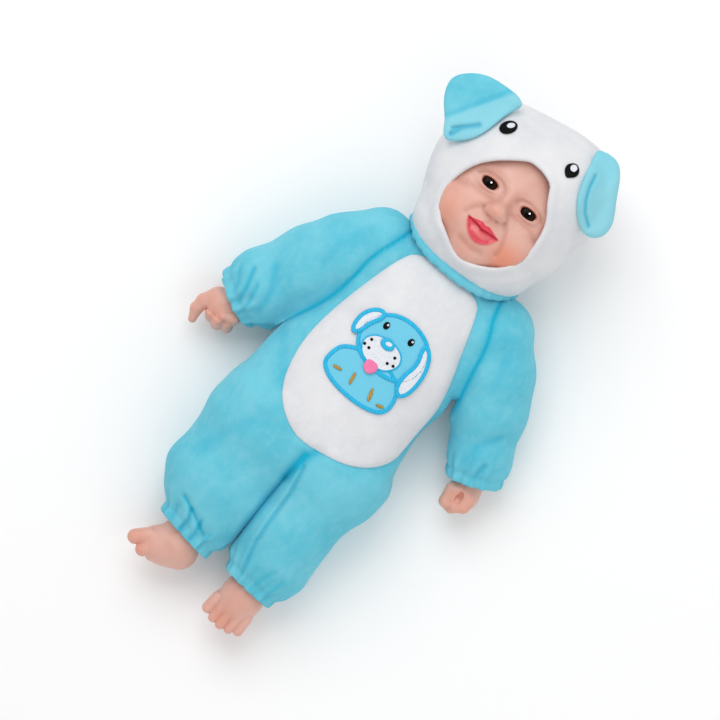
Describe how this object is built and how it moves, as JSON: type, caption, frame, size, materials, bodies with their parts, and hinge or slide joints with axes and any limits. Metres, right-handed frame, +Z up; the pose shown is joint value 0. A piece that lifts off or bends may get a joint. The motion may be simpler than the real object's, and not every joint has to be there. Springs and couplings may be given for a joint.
{
  "type": "interactive baby doll",
  "caption": "Soft-bodied baby doll with vinyl head, hands and feet in a hooded plush suit, with a press-belly sound box under a back flap.",
  "frame": {"origin": "on the flat back under the torso, in the middle of the body's width, where the doll lies on the ground", "axes": "+X to the doll's left, +Y along the body towards the top of the head, +Z up out of the belly; the doll lies on its back"},
  "size_m": [0.2449, 0.4186, 0.1093],
  "materials": {
    "plush": "matte",
    "white_plush": "matte",
    "embroidery": "satin",
    "black_thread": "satin",
    "vinyl": "satin",
    "eye_plastic": "gloss",
    "nylon": "satin",
    "hook_tape": "matte",
    "loop_tape": "matte",
    "case_plastic": "satin",
    "black_plastic": "satin",
    "button_plastic": "satin",
    "steel": "polished",
    "nickel": "satin",
    "cell_jacket": "gloss",
    "wire_cover": "satin",
    "board": "satin",
    "epoxy": "gloss",
    "magnet": "satin",
    "paper_cone": "matte"
  },
  "bodies": {
    "torso": {"torso_stuffing": "plush", "belly_panel": "white_plush", "puppy_patch": "embroidery", "neck_collar": "plush", "neck_tie": "nylon", "loop_strip": "loop_tape", "sound_box_back": "case_plastic", "sound_box_front": "case_plastic", "casing_screws": "steel", "batteries": "cell_jacket", "battery_contacts": "nickel", "battery_leads": "wire_cover", "circuit_board": "board", "chip_blob": "epoxy", "tact_switch": "black_plastic", "board_posts": "case_plastic", "slide_switch": "nickel", "button_spring": "steel", "speaker_basket": "steel", "speaker_magnet": "magnet", "speaker_cone": "paper_cone", "speaker_leads": "wire_cover"},
    "back_flap": {"back_flap": "plush", "hook_strip": "hook_tape"},
    "head": {"head_shell": "vinyl", "eye_right": "eye_plastic", "eye_left": "eye_plastic", "hood": "white_plush", "ear_right": "plush", "ear_left": "plush", "hood_eye_right": "black_thread", "hood_eye_left": "black_thread"},
    "arm_right": {"arm_right": "plush", "wrist_tie_right": "nylon"},
    "hand_right": {"hand_right": "vinyl"},
    "leg_right": {"leg_right": "plush", "ankle_tie_right": "nylon"},
    "foot_right": {"foot_right": "vinyl"},
    "arm_left": {"arm_left": "plush", "wrist_tie_left": "nylon"},
    "hand_left": {"hand_left": "vinyl"},
    "leg_left": {"leg_left": "plush", "ankle_tie_left": "nylon"},
    "foot_left": {"foot_left": "vinyl"},
    "battery_door": {"battery_door": "case_plastic"},
    "door_screw": {"door_screw": "steel"},
    "power_slider": {"power_slider": "black_plastic"},
    "push_button": {"push_button": "button_plastic"}
  },
  "joints": [
    {"name": "neck_turn", "type": "hinge", "parent": "torso", "child": "head", "pos_m": [0, 0.0786, 0.041], "axis": [0, 1, 0], "range_deg": [-25, 25]},
    {"name": "shoulder_lift_right", "type": "hinge", "parent": "torso", "child": "arm_right", "pos_m": [-0.052, 0.048, 0.04], "axis": [-0.8536, 0.521, 0], "range_deg": [0, 80]},
    {"name": "wrist_turn_right", "type": "hinge", "parent": "arm_right", "child": "hand_right", "pos_m": [-0.10202, -0.03394, 0.02], "axis": [-0.521, -0.8536, 0], "range_deg": [-40, 40]},
    {"name": "shoulder_lift_left", "type": "hinge", "parent": "torso", "child": "arm_left", "pos_m": [0.052, 0.048, 0.04], "axis": [-0.8536, -0.521, 0], "range_deg": [0, 80]},
    {"name": "wrist_turn_left", "type": "hinge", "parent": "arm_left", "child": "hand_left", "pos_m": [0.10202, -0.03394, 0.02], "axis": [0.521, -0.8536, 0], "range_deg": [-40, 40]},
    {"name": "hip_lift_right", "type": "hinge", "parent": "torso", "child": "leg_right", "pos_m": [0, -0.0985, 0.044], "axis": [-1, 0, 0], "range_deg": [0, 80]},
    {"name": "ankle_turn_right", "type": "hinge", "parent": "leg_right", "child": "foot_right", "pos_m": [-0.027, -0.1805, 0.027], "axis": [0, 1, 0], "range_deg": [-35, 35]},
    {"name": "hip_lift_left", "type": "hinge", "parent": "torso", "child": "leg_left", "pos_m": [0, -0.0985, 0.044], "axis": [-1, 0, 0], "range_deg": [0, 80]},
    {"name": "ankle_turn_left", "type": "hinge", "parent": "leg_left", "child": "foot_left", "pos_m": [0.0325, -0.1805, 0.027], "axis": [0, 1, 0], "range_deg": [-35, 35]},
    {"name": "back_flap_fold", "type": "hinge", "parent": "torso", "child": "back_flap", "pos_m": [-0.0375, -0.012, 0], "axis": [0, 1, 0], "range_deg": [0, 95]},
    {"name": "battery_door_tilt", "type": "hinge", "parent": "torso", "child": "battery_door", "pos_m": [0, -0.044, 0.024], "axis": [-1, 0, 0], "range_deg": [0, 12]},
    {"name": "door_screw_turn", "type": "hinge", "parent": "battery_door", "child": "door_screw", "pos_m": [0, 0.0162, 0.024], "axis": [0, 0, 1], "continuous": true},
    {"name": "power_slide", "type": "slide", "parent": "torso", "child": "power_slider", "axis": [1, 0, 0], "range_m": [0, 0.004]},
    {"name": "button_press", "type": "slide", "parent": "torso", "child": "push_button", "axis": [0, 0, -1], "range_m": [0, 0.002], "stiffness_N_per_m": 600, "springref_m": -0.0005, "deforming": ["button_spring"]}
  ]
}
